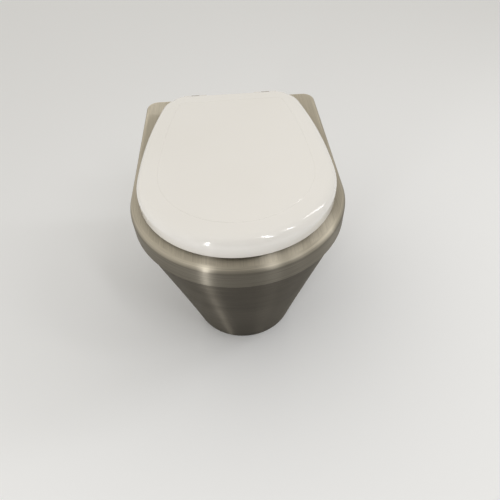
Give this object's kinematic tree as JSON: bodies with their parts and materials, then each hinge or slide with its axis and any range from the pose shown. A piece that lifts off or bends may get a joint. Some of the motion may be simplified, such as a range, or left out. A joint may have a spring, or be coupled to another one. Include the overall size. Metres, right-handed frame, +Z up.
{
  "type": "vacuum toilet",
  "caption": "Floor-standing vacuum toilet with a brushed stainless steel pedestal and deck, funnel bowl, gate valve, rear outlet, and a white hinged seat and lid",
  "frame": {"origin": "floor, centre of the footprint's bounding box", "axes": "+Z up, front of the bowl towards -Y, +X to the right seen from the front"},
  "size_m": [0.39, 0.5349, 0.456],
  "materials": {
    "brushed_steel": "brushed stainless steel sheet with a fine vertical grain",
    "steel_fixings": "plain stainless steel",
    "white_plastic": "glossy moulded thermoset",
    "black_rubber": "matt moulded rubber",
    "grey_plastic": "matt glass-filled plastic",
    "pipe_plastic": "smooth grey plastic",
    "tube_plastic": "smooth tube plastic",
    "brass_body": "turned brass"
  },
  "bodies": {
    "toilet_body": {"top_deck": "brushed_steel", "pedestal_shell": "brushed_steel", "bowl": "brushed_steel", "rinse_ring": "brushed_steel", "vacuum_breaker": "grey_plastic", "rinse_hose": "black_rubber", "water_valve_body": "brass_body", "water_valve_spring": "steel_fixings", "inlet_nipple": "brass_body", "inlet_locknut": "brass_body", "elbow_boot": "black_rubber", "valve_body": "grey_plastic", "actuator_cylinder": "grey_plastic", "actuator_cap": "grey_plastic", "tie_rods": "steel_fixings", "return_spring": "steel_fixings", "valve_cradle": "brushed_steel", "cradle_bolts": "steel_fixings", "outlet_pipe": "pipe_plastic", "outlet_sleeve": "black_rubber", "pipe_grommet": "black_rubber", "hose_clamps": "steel_fixings", "control_unit": "grey_plastic", "control_cover": "grey_plastic", "cover_screws": "steel_fixings", "button_tube": "tube_plastic", "actuator_tube": "tube_plastic", "pilot_tube": "tube_plastic", "vacuum_tube": "tube_plastic", "check_valve": "grey_plastic", "rear_panel": "brushed_steel", "panel_flange_left": "brushed_steel", "panel_flange_right": "brushed_steel", "panel_screws": "steel_fixings", "floor_feet": "brushed_steel", "hinge_post_left": "steel_fixings", "hinge_post_right": "steel_fixings", "hinge_pins": "steel_fixings", "hinge_backing": "brushed_steel", "hinge_washers": "steel_fixings", "hinge_bolts": "steel_fixings", "button_housing": "steel_fixings", "button_spring": "steel_fixings", "button_nut": "grey_plastic"},
    "seat_assembly": {"seat": "white_plastic", "seat_buffers": "black_rubber"},
    "lid_assembly": {"lid": "white_plastic", "lid_buffers": "black_rubber"},
    "gate_assembly": {"gate": "pipe_plastic"},
    "plunger_assembly": {"water_valve_plunger": "black_rubber"},
    "button_assembly": {"flush_button": "white_plastic"}
  },
  "joints": [
    {"name": "seat_hinge", "type": "hinge", "parent": "toilet_body", "child": "seat_assembly", "pos_m": [0, 0.218, 0.436], "axis": [-1, 0, 0], "range_deg": [0, 92]},
    {"name": "lid_hinge", "type": "hinge", "parent": "seat_assembly", "child": "lid_assembly", "pos_m": [0, 0.218, 0.436], "axis": [-1, 0, 0], "range_deg": [0, 90]},
    {"name": "gate_lift", "type": "slide", "parent": "toilet_body", "child": "gate_assembly", "axis": [0, 0, 1], "range_m": [0, 0.052], "stiffness_N_per_m": 300, "springref_m": -0.01, "deforming": ["return_spring"]},
    {"name": "plunger_lift", "type": "slide", "parent": "toilet_body", "child": "plunger_assembly", "axis": [0, 0, 1], "range_m": [0, 0.004], "stiffness_N_per_m": 500, "springref_m": -0.001, "deforming": ["water_valve_spring"]},
    {"name": "button_press", "type": "slide", "parent": "toilet_body", "child": "button_assembly", "axis": [0, 0, -1], "range_m": [0, 0.004], "stiffness_N_per_m": 600, "springref_m": -0.001, "deforming": ["button_spring"]}
  ]
}
